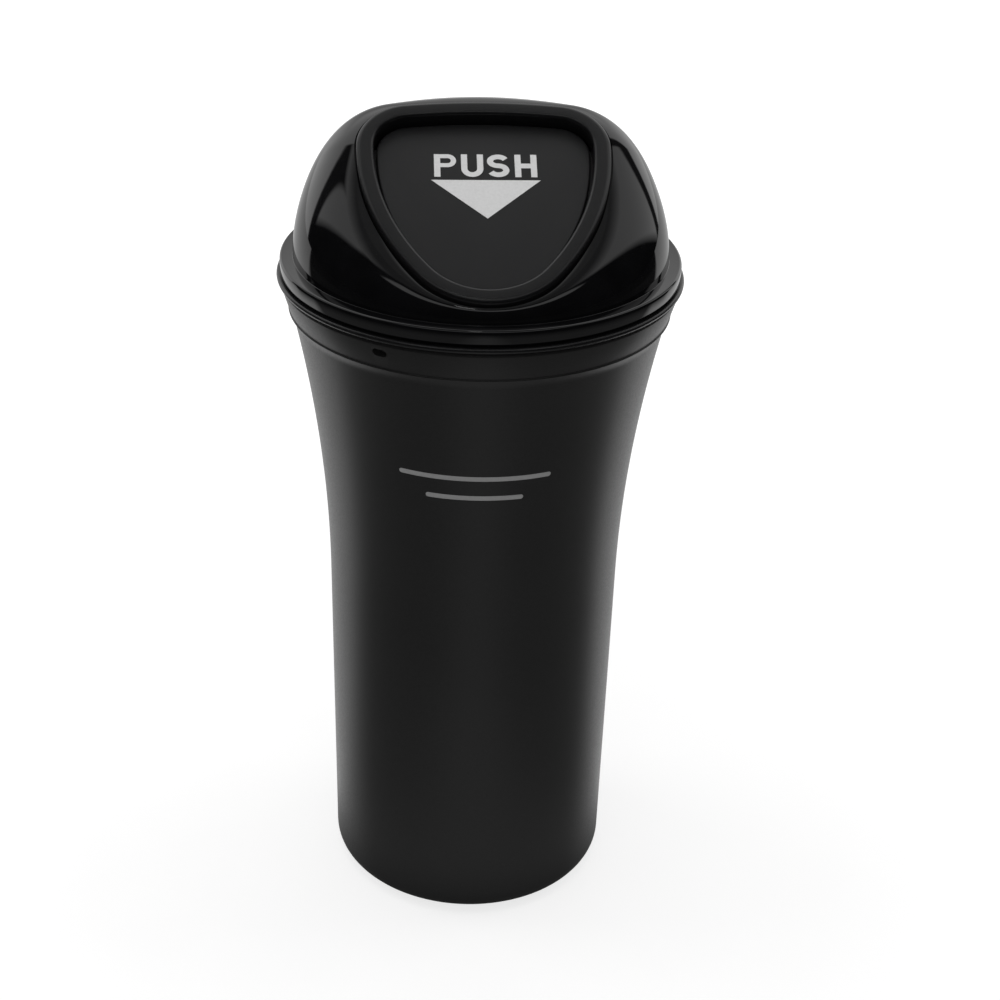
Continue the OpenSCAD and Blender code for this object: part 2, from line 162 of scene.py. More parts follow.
class LidSizes(bpy.types.PropertyGroup):
    """Sizes of the domed lid and its opening, whose nose is a little wider than in the CAD model."""
    face_tilt: angle("Slant", radians(28.5), "Slant of the opening from the horizontal")
    nose_inset: length("Nose inset", 1.5, "How far the frame's lowest edge stays inside the dome's foot")
    corner_x: length("Corner place", 16.3, "Sideways place of the two upper corner arcs")
    corner_y: length("Corner height", 15.4, "Place of the upper corner arcs up the slant")
    corner_r: length("Corner radius", 8.5, "Radius of the upper corners")
    nose_y: length("Nose place", -10.6, "Place of the nose arc down the slant")
    nose_r: length("Nose radius", 15.8, "Radius of the nose at the bottom")
    side_r: length("Side radius", 56.4, "Radius of the long bowed sides")
    top_r: length("Top radius", 144, "Radius of the nearly flat top side")
    dome_r: length("Dome radius", 43.629, "Outside radius of the dome where it stands on the flange")
    dome_t: length("Dome wall", 2, "Thickness of the dome's wall")
    fan_y: length("Fan point", -6, "Point from which the dome's ribs of skin fan out")
    flange_h: length("Flange", 3.6, "Thickness of the flange under the dome")
    lip_r: length("Lip radius", 46.629, "Outside radius of the flange's rounded lip")
    throat_r: length("Throat radius", 39.029, "Radius of the way through the lid")
    skirt_t: length("Skirt wall", 1.4, "Thickness of the lid's short skirt")
    skirt_l: length("Skirt length", 1.7, "Length of the lid's short skirt")
    lead_w: length("Lead-in width", 0.45, "Width of the bevel on the skirt's end")
    lead_h: length("Lead-in height", 1.3, "Height of the bevel on the skirt's end")
    joint_gap: length("Joint", 0.3, "Gap of the joint round the frame")
    foot_fillet: length("Dome foot fillet", 0.15, "Fillet where the dome leaves the flange")
    lip_round: length("Lip rounding", 0.8, "Rounding of the flange's two outer edges")


class FlapSizes(bpy.types.PropertyGroup):
    """Sizes of the frame, the flap and the hinge. The crown is drawn flatter than in the CAD model."""
    crown_w: length("Crown width", 4.1, "Width of the frame's rounded crown")
    crown_h: length("Crown height", 1.2, "Height of the crown's highest line in the CAD model")
    band_h: length("Band height", 0.97, "Height of the crown's flat band over the dome")
    band_out: length("Band outer rounding", 1.2, "Rounding of the band towards the dome")
    band_in: length("Band inner rounding", 0.8, "Rounding of the band towards the flap")
    frame_wall: length("Frame wall", 2.3, "Thickness of the frame's standing wall")
    frame_depth: length("Frame depth", 3.2, "Depth of the standing wall below the opening's plane")
    seat_depth: length("Seat depth", 1.6, "Depth of the frame's flange on the dome's ledge")
    edge_r: length("Edge rounding", 0.25, "Rounding of the frame's unseen edges")
    ear_t: length("Ear thickness", 2.5, "Thickness of the two hinge ears")
    ear_x: length("Ear place", 13, "Distance from the middle to each ear's inner face")
    bridge_t: length("Bridge thickness", 1.9, "Thickness of the bar between the ears")
    hook_w: length("Hook width", 6, "Width of each snap hook")
    hook_t: length("Hook thickness", 0.8, "Thickness of each snap hook")
    hook_reach: length("Hook reach", 0.9, "Reach of a hook's barb")
    hook_h: length("Hook barb height", 1.4, "Height of a hook's barb")
    flap_drop: length("Flap depth", 2, "Depth of the flap's face below the opening's plane")
    flap_t: length("Flap thickness", 2.7, "Thickness of the flap")
    flap_gap: length("Flap gap", 0.55, "Gap all round the flap")
    flap_edge: length("Flap edge", 0.5, "Rounding of the flap's visible edge")
    stop_t: length("Stop thickness", 1, "Thickness of the stop flange behind the frame's wall")
    stop_lift: length("Stop lift", 0.2, "Step from the flap's back up to the stop flange")
    stop_w: length("Stop width", 1.2, "Width of the stop flange beyond the opening's edge")
    stop_short: length("Stop end", 3.5, "How far the stop flange ends short of the hinge axis")
    hinge_in: length("Hinge place", 3.9, "Distance of the hinge axis from the opening's top side")
    knuckle_t: length("Knuckle thickness", 2.5, "Thickness of the two knuckles")
    knuckle_x: length("Knuckle place", 8.5, "Distance from the middle to each knuckle's inner face")
    rib_t: length("Rib thickness", 1.2, "Thickness of the two ribs on the back")
    rib_h: length("Rib height", 1.5, "Height of the ribs on the back")
    rib_l: length("Rib length", 35, "Length of the ribs from the hinge axis")
    boss_r: length("Boss radius", 1.9, "Radius of ears and knuckles round the pin")
    pin_d: length("Pin diameter", 2, "Diameter of the hinge pin")
    wire_d: length("Wire", 0.6, "Diameter of the spring's wire")
    coil_d: length("Coil diameter", 3.1, "Diameter of the spring's coil")
    coil_l: length("Coil length", 7, "Length of the spring's coil")
    flap_leg: length("Front leg", 9, "Length of the spring's leg under the flap")
    bridge_leg: length("Back leg", 5.4, "Length of the spring's leg under the bridge")
    seat_gap: length("Seat gap", 0.3, "Gap between pieces that sit on each other")


class BinColours(bpy.types.PropertyGroup):
    """Colours of the bin's plastics, inks and metal."""
    body: paint("Cup", "#1a1a1a", "Satin black of the cup")
    ring: paint("Bag ring", "#121213", "Black of the bag ring")
    lid: paint("Lid", "#0a0a0b", "Deep gloss black of the lid")
    surround: paint("Frame", "#0e0e0f", "Satin black of the frame")
    flap: paint("Flap", "#121213", "Fine grained black of the flap")
    ink: paint("White ink", "#c9c9c9", "Pad print on the flap")
    grey_ink: paint("Grey ink", "#9a9a9a", "Pad print on the cup")
    steel: paint("Steel", "#b9babd", "Pin and spring")


class StudioSettings(bpy.types.PropertyGroup):
    """Camera and lamps, matched to the product picture."""
    distance: length("Distance", 490, "Camera distance from its target")
    aim_z: length("Target height", 100, "Height of the camera's target over the floor")
    elevation: angle("Elevation", radians(28.35), "Camera angle above the horizon")
    turn: angle("Turn", 0.0558, "Camera angle to the left of the front")
    roll: angle("Roll", radians(1.39), "Tilt of the camera about its line of sight")
    lens: FloatProperty(name="Lens", description="Focal length on a 36 mm wide sensor, in millimetres",
                        default=70.95)
    shift: FloatVectorProperty(name="Lens shift", default=(0.0253, 0.0064), size=2, precision=4,
                               description="Shift of the picture, as a share of its width")
    top_power: lamp_power("Top lamp", 4.2, "Power of the soft box overhead")
    side_power: lamp_power("Side lamps", 2.0, "Power of each soft box at the side")
    front_power: lamp_power("Front lamp", 4.5, "Power of the soft box in front")
    glint_power: lamp_power("Glint lamp", 0.05, "Power of the small lamp that makes the glint")


# ---------------------------------------------------------------- mesh tools

def new_piece(name, data):
    """An object in the scene that shows this mesh, curve, lamp or camera."""
    piece = bpy.data.objects.new(name, data)
    bpy.context.scene.collection.objects.link(piece)
    return piece


def shade(bm, name, sharp_deg=32):
    """Turns a bmesh into a mesh with smooth faces and hard edges where it folds."""
    bmesh.ops.recalc_face_normals(bm, faces=bm.faces)
    for face in bm.faces:
        face.smooth = True
    for edge in bm.edges:
        edge.smooth = len(edge.link_faces) == 2 and edge.calc_face_angle(0) < radians(sharp_deg)
    mesh = bpy.data.meshes.new(name)
    bm.to_mesh(mesh)
    bm.free()
    return mesh


def add_skin(bm, rings, closed=True):
    """Adds a skin over rings of equal count, closed on its first ring or capped."""
    rows = [[bm.verts.new(p) for p in ring] for ring in rings]
    count = len(rows[0])
    for low, high in zip(rows, rows[1:] + rows[:1] if closed else rows[1:]):
        for j in range(count):
            k = (j + 1) % count
            bm.faces.new((low[j], high[j], high[k], low[k]))
    if not closed:
        bm.faces.new(rows[0])
        bm.faces.new(rows[-1])


def add_prism(bm, points, place, depth, bevel):
    """Adds a prism over 2D points, from 0 to depth in its own Z, with eased edges."""
    part = bmesh.new()
    low = [part.verts.new((x, y, 0)) for x, y in points]
    high = [part.verts.new((x, y, depth)) for x, y in points]
    part.faces.new(list(reversed(low)))
    part.faces.new(high)
    for i in range(len(points)):
        k = (i + 1) % len(points)
        part.faces.new((low[i], low[k], high[k], high[i]))
    bmesh.ops.recalc_face_normals(part, faces=part.faces)
    if bevel:
        folds = [e for e in part.edges if e.calc_face_angle(0) > radians(30)]
        bmesh.ops.bevel(part, geom=folds, offset=bevel, segments=2, profile=0.5, affect="EDGES")
    part.transform(place)
    keep = bpy.data.meshes.new("prism")
    part.to_mesh(keep)
    part.free()
    add_mesh(bm, keep)


def cut_away(mesh, tool):
    """The mesh with the tool's solid cut out of it."""
    solid, cutter = new_piece("solid_to_cut", mesh), new_piece("cutter", shade(tool, "cutter"))
    cut = solid.modifiers.new("cut", "BOOLEAN")
    cut.operation, cut.object, cut.solver = "DIFFERENCE", cutter, "EXACT"
    result = bmesh.new()
    result.from_object(solid, bpy.context.evaluated_depsgraph_get())
    for piece in (solid, cutter):
        bpy.data.objects.remove(piece)
    return shade(result, mesh.name)


def add_mesh(bm, mesh):
    """Adds a finished mesh to a bmesh and clears it away."""
    bm.from_mesh(mesh)
    bpy.data.meshes.remove(mesh)


def bored(bm, centre, radius):
    """The same solid, as a mesh, with a level round hole along X through it."""
    drill = bmesh.new()
    along_x = Matrix.Translation(centre) @ Matrix.Rotation(pi / 2, 4, "Y")
    bmesh.ops.create_cone(drill, cap_ends=True, segments=48, radius1=radius, radius2=radius,
                          depth=2 * BORE_REACH, matrix=along_x)
    return cut_away(shade(bm, "bored"), drill)


def arc(centre, radius, start, end, steps):
    """Points of an arc in the plane, without its last one; angles in radians."""
    turns = [start + (end - start) * i / steps for i in range(steps)]
    return [(centre[0] + radius * cos(a), centre[1] + radius * sin(a)) for a in turns]


# ------------------------------------------------------------- slanted plane

class Slant:
    """The opening's slanted plane and the rounded triangle drawn on it."""

    TOP_STEPS, CORNER_STEPS, SIDE_STEPS, NOSE_STEPS = 24, 40, 32, 32

    def __init__(self, lid, flap):
        self.tilt = lid.face_tilt
        corner = Vector((lid.corner_x, lid.corner_y))
        nose = Vector((0, lid.nose_y))
        top = Vector((0, lid.corner_y - sqrt((lid.top_r - lid.corner_r) ** 2 - lid.corner_x ** 2)))
        # The long side's centre lies where both corners' arcs run smoothly into it
        way = nose - corner
        to_corner, to_nose = lid.side_r - lid.corner_r, lid.side_r - lid.nose_r
        along = (way.length ** 2 + to_corner ** 2 - to_nose ** 2) / (2 * way.length)
        off = sqrt(to_corner ** 2 - along ** 2)
        course = way.normalized()
        side = corner + course * along + Vector((course.y, -course.x)) * off
        top_end = atan2(corner.y - top.y, corner.x - top.x)
        side_start = atan2(corner.y - side.y, corner.x - side.x)
        side_end = atan2(nose.y - side.y, nose.x - side.x)
        self.arcs = (
            (top, lid.top_r, pi / 2, top_end, self.TOP_STEPS),
            (corner, lid.corner_r, top_end, side_start, self.CORNER_STEPS),
            (side, lid.side_r, side_start, side_end, self.SIDE_STEPS),
            (nose, lid.nose_r, side_end, -pi / 2, self.NOSE_STEPS))
        self.side = side
        self.side_r = lid.side_r
        self.side_start, self.side_end = side_start, side_end
        self.tip_y = lid.nose_y - lid.nose_r
        self.top_y = top.y + lid.top_r
        edge_w = flap.crown_w + lid.joint_gap
        rise = hypot(flap.crown_w / 2 * sin(self.tilt), flap.crown_h * cos(self.tilt))
        self.y = lid.nose_inset - lid.dome_r + (lid.nose_r + edge_w - lid.nose_y) * cos(self.tilt)
        self.z = CAD_BOX[1].z - (self.top_y + flap.crown_w / 2) * sin(self.tilt) - rise
        self.hinge_y = self.top_y - flap.hinge_in
        self.flap_top_h = -flap.flap_drop
        self.flap_back_h = self.flap_top_h - flap.flap_t
        leg_h = (flap.coil_d + flap.wire_d) / 2
        self.hinge_h = self.flap_back_h - flap.seat_gap - leg_h
        self.bridge_h = self.hinge_h + leg_h + flap.seat_gap

    def outline(self, grow):
        """The rounded triangle moved out by grow, counter-clockwise from the top."""
        right = [p for c, r, start, end, steps in self.arcs for p in arc(c, r + grow, start, end, steps)]
        left = [(-x, y) for x, y in right]
        return left + [(0, self.tip_y - grow)] + right[:0:-1]

    def at(self, x, y, h):
        """The point h above the plane at (x, y) of it, in the model's frame."""
        return Vector((x, self.y + y * cos(self.tilt) - h * sin(self.tilt),
                       self.z + y * sin(self.tilt) + h * cos(self.tilt)))

    def ring(self, grow, h):
        """The outline moved out by grow, at height h over the plane."""
        return [self.at(x, y, h) for x, y in self.outline(grow)]

    def place(self, h=0.0):
        """The matrix of the plane's own axes, at height h over it."""
        return Matrix.Translation(self.at(0, 0, h)) @ Matrix.Rotation(self.tilt, 4, "X")

    def hinge(self, x=0.0):
        """A point of the hinge axis."""
        return self.at(x, self.hinge_y, self.hinge_h)


# ----------------------------------------------------------------- materials

def node(tree, kind, feeds=(), **settings):
    """Adds a node with its settings and feeds its sockets, by name or in their order.

    A feed is a value, an output, or a node, whose first output in use is
    taken. A map range is fed its value, the two ends that it reads and the
    two that it gives.
    """
    made = tree.nodes.new(kind)
    for key, value in settings.items():
        setattr(made, key, value)
    for socket, value in feeds.items() if isinstance(feeds, dict) else enumerate(feeds):
        if isinstance(value, bpy.types.Node):
            value = next(out for out in value.outputs if out.enabled)
        if isinstance(value, bpy.types.NodeSocket):
            tree.links.new(value, made.inputs[socket])
        else:
            made.inputs[socket].default_value = value
    return made


def blank_material(name):
    """A material with an empty tree, and the tree."""
    material = bpy.data.materials.new(name)
    material.use_nodes = True
    material.node_tree.nodes.clear()
    return material, material.node_tree


def surface(tree, colour, tone, gloss, bump, **constants):
    """A surface whose colour is varied by a tone, with its gloss, relief and constants."""
    tinted = node(tree, "ShaderNodeMix", {"Factor": 1.0, "A": tuple(colour), "B": tone},
                  data_type="RGBA", blend_type="MULTIPLY")
    shader = node(tree, "ShaderNodeBsdfPrincipled", {
        "Base Color": tinted, "Roughness": gloss, "Normal": bump, **constants})
    node(tree, "ShaderNodeOutputMaterial", {"Surface": shader})


def moulded_plastic(name, colour, ior, roughness, grain_mm, grain_depth_mm, spread=0.05):
    """An injection moulded plastic whose mould left a spark-eroded grain.

    Grain of that size and depth breaks up the gloss, slow drifts in tone
    follow the flow of the melt, and the colour goes right through.
    """
    material, tree = blank_material(name)
    place = node(tree, "ShaderNodeTexCoord").outputs["Object"]
    melt = node(tree, "ShaderNodeTexNoise", {"Vector": place, "Scale": 1 / MELT_FLOW, "Detail": 3.0})
    grain = node(tree, "ShaderNodeTexNoise", {
        "Vector": place, "Scale": 1 / (grain_mm * MM), "Detail": 2.0})
    tone = node(tree, "ShaderNodeMapRange", (melt, 0.3, 0.7, 1 - MELT_DRIFT, 1 + MELT_DRIFT))
    flecked = node(tree, "ShaderNodeMath", (tone, grain, 0.5), operation="MULTIPLY_ADD")
    gloss = node(tree, "ShaderNodeMapRange", (grain, 0.3, 0.7, roughness - spread, roughness + spread))
    bump = node(tree, "ShaderNodeBump", {"Height": grain, "Distance": grain_depth_mm * MM})
    surface(tree, colour, flecked, gloss, bump, IOR=ior)
    return material


def ray_kinds(tree):
    """Whether the ray comes from the camera, and whether it was mirrored or refracted."""
    path = node(tree, "ShaderNodeLightPath")
    mirrored = node(tree, "ShaderNodeMath", (
        path.outputs["Is Glossy Ray"], path.outputs["Is Transmission Ray"]), operation="MAXIMUM")
    return path.outputs["Is Camera Ray"], mirrored


def cover(piece, material):
    """Puts one material on every face of a piece."""
    piece.data.materials.clear()
    piece.data.materials.append(material)


def repaint(cad_node, material):
    """Gives a CAD node's material slots a finished material."""
    for slot in cad_node.material_slots:
        slot.material = material


# ----------------------------------------------------------------- operators

class CARBIN_OT_cup(bpy.types.Operator):
    """Build the cup and finish the bag ring"""
    bl_idname = "carbin.cup"
    bl_label = "Cup and bag ring"

    TURN_STEPS = 288
    FLARE_STEPS = 40
    ROUND_STEPS = 12
    DIMPLE_STEPS = 24
    STRAIGHT_Z = (20 * MM, 40 * MM, 60 * MM)    # rings up the straight lower wall
    LINE_LOW = 1.4 * MM                         # where the wall gives way to the bead under the collar
    LINE_OUT, LINE_UP = 0.16 * MM, 0.05 * MM    # the bead's centre, from the collar's foot
    LINE_ENDS = (-0.12 * pi, 0.45 * pi)

    def execute(self, context):
        cup, colours = context.scene.car_bin_cup, context.scene.car_bin_colours
        turns = [2 * pi * i / self.TURN_STEPS for i in range(self.TURN_STEPS)]
        bm = bmesh.new()
        rings = [[(r * cos(a), r * sin(a), z) for a in turns] for r, z in self.profile(cup)]
        add_skin(bm, rings, closed=False)
        piece = new_piece("cup", self.dimpled(shade(bm, "cup"), cup))
        # Satin polypropylene, moulded on a finely eroded tool: a soft sheen that
        # turns pale where the wall curves away
        cover(piece, moulded_plastic("satin_moulded_polypropylene", colours.body,
                                     POLYPROPYLENE_IOR, 0.36, 0.45, 0.004))
        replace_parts(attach(piece, "bin"), "bin_body")
        # The same plastic on a smoother tool, so the bead glints a little more
        smooth = moulded_plastic("smooth_moulded_polypropylene", colours.ring,
                                 POLYPROPYLENE_IOR, 0.24, 0.6, 0.0003, spread=0.02)
        repaint(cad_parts["bag_ring"], smooth)
        return {"FINISHED"}

    def profile(self, cup):
        """Radius and height of the cup's skin, from under its floor to the floor inside."""
        r, rim_z = cup.foot_round, cup.crease_z + cup.collar_h
        flare = [cup.flare_z + cup.bow_h * i / self.FLARE_STEPS for i in range(self.FLARE_STEPS + 1)]
        low_r, low_z = cup.collar_low_r, cup.crease_z
        inner_z = cup.recess + cup.floor_t
        inner_r = cup.wall_r(inner_z + cup.floor_round) - cup.wall_t
        round_r = cup.collar_round
        points = [(cup.land_r - cup.recess, cup.recess), (cup.land_r, 0)]
        points += arc((cup.foot_r - r, r), r, -pi / 2, 0, self.ROUND_STEPS) + [(cup.foot_r, r)]
        points += [(cup.wall_r(z), z) for z in (*self.STRAIGHT_Z, *flare, low_z - self.LINE_LOW)]
        # The wall ends in a fine bead that catches the light, and the collar rises from it
        points += arc((low_r + self.LINE_OUT, low_z + self.LINE_UP), cup.line_r, *self.LINE_ENDS,
                      self.ROUND_STEPS)
        points += arc((cup.collar_top_r - round_r, rim_z - round_r), round_r, 0, pi / 2, self.ROUND_STEPS)
        points += [(cup.collar_top_r - round_r, rim_z), (cup.mouth_r, rim_z),
                   (cup.mouth_r, cup.shoulder_z),
                   (cup.wall_r(cup.shoulder_z - MM) - cup.wall_t, cup.shoulder_z - MM)]
        points += [(cup.wall_r(z) - cup.wall_t, z) for z in reversed(flare)]
        points += arc((inner_r - cup.floor_round, inner_z + cup.floor_round), cup.floor_round, 0, -pi / 2,
                      self.ROUND_STEPS)
        return points + [(inner_r - cup.floor_round, inner_z)]

    def dimpled(self, mesh, cup):
        """The cup's mesh with the oval dimple pressed into its collar."""
        lean = atan2(cup.collar_top_r - cup.collar_low_r, cup.collar_h)
        mid_r = cup.collar_low_r + (cup.collar_top_r - cup.collar_low_r) * cup.dimple_share
        mid_z = cup.crease_z + cup.collar_h * cup.dimple_share
        r, half = cup.dimple_w / 2, (cup.dimple_l - cup.dimple_w) / 2
        oval = arc((0, half), r, 0, pi, self.DIMPLE_STEPS) + [(-r, half)]
        oval += arc((0, -half), r, pi, 2 * pi, self.DIMPLE_STEPS) + [(r, -half)]
        place = (Matrix.Rotation(cup.dimple_angle, 4, "Z") @ Matrix.Translation((mid_r, 0, mid_z))
                 @ Matrix.Rotation(pi / 2 + lean, 4, "Y") @ Matrix.Translation((0, 0, -cup.dimple_depth)))
        tool = bmesh.new()
        add_prism(tool, oval, place, cup.dimple_depth + MM, 0)
        return cut_away(mesh, tool)


class CARBIN_OT_dome(bpy.types.Operator):
    """Build the glossy domed lid"""
    bl_idname = "carbin.dome"
    bl_label = "Domed lid"

    LIP_STEPS = 10
    FILLET_STEPS = 5
    DOME_STEPS = 64
    LINING_STEPS = 24
    EDGE_ROUND = 0.35 * MM
    WELD = 0.002 * MM

    def execute(self, context):
        lid, flap = context.scene.car_bin_lid, context.scene.car_bin_flap
        slant = Slant(lid, flap)
        skirt_z, flange_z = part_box("lid_dome")[0].z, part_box("lid_dome")[0].z + lid.skirt_l
        ledge_z = flange_z + lid.flange_h
        skirt_r = lid.throat_r + lid.skirt_t
        lip_x, lip_round = lid.lip_r - lid.lip_round, lid.lip_round
        edge_w = flap.crown_w + lid.joint_gap
        edge = slant.ring(edge_w, -self.EDGE_ROUND)
        seat_w = flap.frame_wall + lid.joint_gap
        ledge = slant.ring(seat_w, -flap.frame_depth)
        ways = [atan2(p.y - lid.fan_y, p.x) for p in edge]

        def circle(radius, z):
            return [Vector((radius * cos(a), radius * sin(a), z)) for a in ways]

        def rib(rim, radius, base_z, clear, share):
            """Ring of the dome at a share of the way from clear over its base to the rim."""
            points = []
            for a, p in zip(ways, rim):
                low = asin(clear / (p.z - base_z))
                v = low + (pi / 2 - low) * share
                inward = 1 - cos(v)
                points.append(Vector((
                    radius * cos(a) * (1 - inward) + p.x * inward,
                    radius * sin(a) * (1 - inward) + p.y * inward,
                    base_z + (p.z - base_z) * sin(v))))
            return points

        def swept(c_r, c_z, r, start, end, steps):
            return [circle(x, z) for x, z in arc((c_r, c_z), r, start, end, steps)]

        fillet = lid.foot_fillet
        rings = [circle(lid.throat_r, skirt_z), circle(skirt_r - lid.lead_w, skirt_z),
                 circle(skirt_r, skirt_z + lid.lead_h), circle(skirt_r, flange_z)]
        rings += swept(lip_x, flange_z + lip_round, lip_round, -pi / 2, 0, self.LIP_STEPS)
        rings += swept(lip_x, ledge_z - lip_round, lip_round, 0, pi / 2, self.LIP_STEPS)
        rings += swept(lid.dome_r + fillet, ledge_z + fillet, fillet, -pi / 2, -pi, self.FILLET_STEPS)
        rings += [rib(edge, lid.dome_r, ledge_z, fillet, i / self.DOME_STEPS)
                  for i in range(self.DOME_STEPS + 1)]
        # The dome's edge rolls over into the joint round the frame
        rings += [[slant.at(x, y, -self.EDGE_ROUND) for x, y in slant.outline(edge_w)]]
        rings += [slant.ring(edge_w, -flap.seat_depth), slant.ring(seat_w, -flap.seat_depth)]
        rings += [rib(ledge, lid.dome_r - lid.dome_t, ledge_z - MM, MM, i / self.LINING_STEPS)
                  for i in range(self.LINING_STEPS, -1, -1)]
        rings += [circle(lid.throat_r, ledge_z)]
        bm = bmesh.new()
        add_skin(bm, rings)
        bmesh.ops.remove_doubles(bm, verts=bm.verts, dist=self.WELD)
        piece = new_piece("lid_shell", shade(bm, "lid_shell"))
        # ABS moulded on a polished tool: a deep mirror gloss with a faint swell
        cover(piece, moulded_plastic("gloss_moulded_abs", context.scene.car_bin_colours.lid,
                                     ABS_IOR, 0.045, 6.0, 0.006, spread=0.012))
        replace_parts(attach(piece, "lid"), "lid_dome")
        return {"FINISHED"}


class CARBIN_OT_surround(bpy.types.Operator):
    """Build the frame round the flap, with its ears, bridge and snap hooks"""
    bl_idname = "carbin.surround"
    bl_label = "Flap frame"

    CROWN_STEPS = 12
    BAND_EDGE = 0.12 * MM           # how far the band ends short of the joint
    CORNER_CUT = 0.3                # share of the rounding that a corner's middle facet cuts off
    HOOK_SHARES = (0.22, 0.78)      # the hooks' places along each long side
    PIN_PLAY = 0.02 * MM

    def execute(self, context):
        lid, flap = context.scene.car_bin_lid, context.scene.car_bin_flap
        slant = Slant(lid, flap)
        e, cut = flap.edge_r, flap.edge_r * self.CORNER_CUT
        turns = [pi / 2 * i / self.CROWN_STEPS for i in range(self.CROWN_STEPS + 1)]
        out = [(flap.crown_w - self.BAND_EDGE - flap.band_out * (1 - cos(a)), flap.band_h * sin(a))
               for a in turns]
        into = arc((flap.band_in, flap.band_h - flap.band_in), flap.band_in, pi / 2, pi, self.CROWN_STEPS)
        section = out + into + [(0, flap.band_h - flap.band_in)] + [
            (0, e - flap.frame_depth), (cut, cut - flap.frame_depth), (e, -flap.frame_depth),
            (flap.frame_wall, -flap.frame_depth), (flap.frame_wall, -flap.seat_depth),
            (flap.crown_w, -flap.seat_depth)]
        bm = bmesh.new()
        add_skin(bm, [slant.ring(w, h) for w, h in section])
        ears = bmesh.new()
        self.add_ears(ears, slant, flap, lid)
        add_mesh(bm, bored(ears, slant.hinge(), flap.pin_d / 2 + self.PIN_PLAY))
        self.add_hooks(bm, slant, flap)
        piece = new_piece("flap_surround", shade(bm, "flap_surround"))
        # ABS moulded on a satin tool: broad soft highlights along the crown
        cover(piece, moulded_plastic("satin_moulded_abs", context.scene.car_bin_colours.surround,
                                     ABS_IOR, 0.30, 0.4, 0.0012, spread=0.02))
        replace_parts(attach(piece, "lid"), "flap_frame")
        return {"FINISHED"}

    def add_ears(self, bm, slant, flap, lid):
        """Adds the bar between the ears and the two ears that hold the pin."""
        bridge_y = slant.top_y + lid.joint_gap
        top_h = -flap.frame_depth + LAP
        width = flap.ear_x + flap.ear_t
        outer = [(x, y) for x, y in slant.outline(flap.frame_wall) if y > bridge_y and abs(x) < width]
        outer.sort()
        bar = [(-width, bridge_y)] + [(x, min(y, bridge_y + flap.bridge_t)) for x, y in outer]
        bar += [(width, bridge_y)]
        add_prism(bm, bar, slant.place(h=slant.bridge_h), top_h - slant.bridge_h, 0)
        back_y = bridge_y + flap.bridge_t / 2
        y, h, r = slant.hinge_y, slant.hinge_h, flap.boss_r
        profile = arc((y, h), r, pi / 2, 3 * pi / 2, 20) + [
            (y, h - r), (back_y, h), (back_y, slant.bridge_h + MM), (bridge_y, slant.bridge_h + MM),
            (bridge_y, h + r)]
        for sign in (-1, 1):
            x = sign * (flap.ear_x + flap.ear_t / 2) - flap.ear_t / 2
            place = slant.place() @ Matrix.Translation((x, 0, 0)) @ UPRIGHT
            add_prism(bm, profile, place, flap.ear_t, EASE)

    def add_hooks(self, bm, slant, flap):
        """Adds the four hooks that snap under the dome's ledge."""
        barb_h = -flap.frame_depth - flap.seat_gap
        inner = flap.frame_wall - flap.hook_t
        root_h = LAP - flap.frame_depth
        profile = [(inner, root_h), (flap.frame_wall, root_h), (flap.frame_wall, barb_h),
                   (flap.frame_wall + flap.hook_reach, barb_h), (flap.frame_wall, barb_h - flap.hook_h),
                   (inner, barb_h - flap.hook_h)]
        for share in self.HOOK_SHARES:
            turn = slant.side_start + (slant.side_end - slant.side_start) * share
            on_side = (Matrix.Translation((slant.side.x, slant.side.y, 0)) @ Matrix.Rotation(turn, 4, "Z")
                       @ Matrix.Translation((slant.side_r, flap.hook_w / 2, 0)) @ TIP_UP)
            for mirror in (Matrix(), Matrix.Scale(-1, 4, (1, 0, 0))):
                add_prism(bm, profile, slant.place() @ mirror @ on_side, flap.hook_w, 0)


